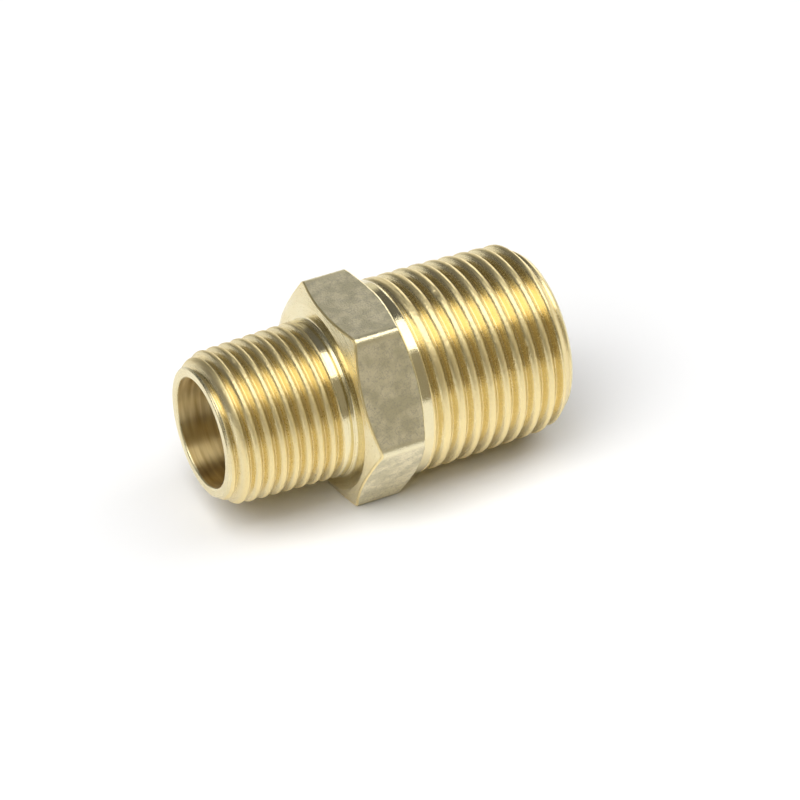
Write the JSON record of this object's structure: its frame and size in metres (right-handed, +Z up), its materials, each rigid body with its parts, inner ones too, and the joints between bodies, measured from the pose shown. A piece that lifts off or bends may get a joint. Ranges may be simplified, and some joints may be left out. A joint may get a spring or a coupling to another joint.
{
  "type": "reducing hex nipple",
  "caption": "Brass pipe nipple with tapered male threads of two sizes on either side of a wrench hexagon, bored through.",
  "frame": {"origin": "on the bore axis, midway between the two end faces", "axes": "+X along the bore axis towards the large end, -X towards the small end, +Z up, square to one pair of hexagon flats"},
  "size_m": [0.0396, 0.0248, 0.0216],
  "materials": {
    "brass_body": "machined, bright on the threads and matt on the drawn hexagon flats"
  },
  "bodies": {
    "root": {"nipple_body": "brass_body"}
  },
  "joints": []
}
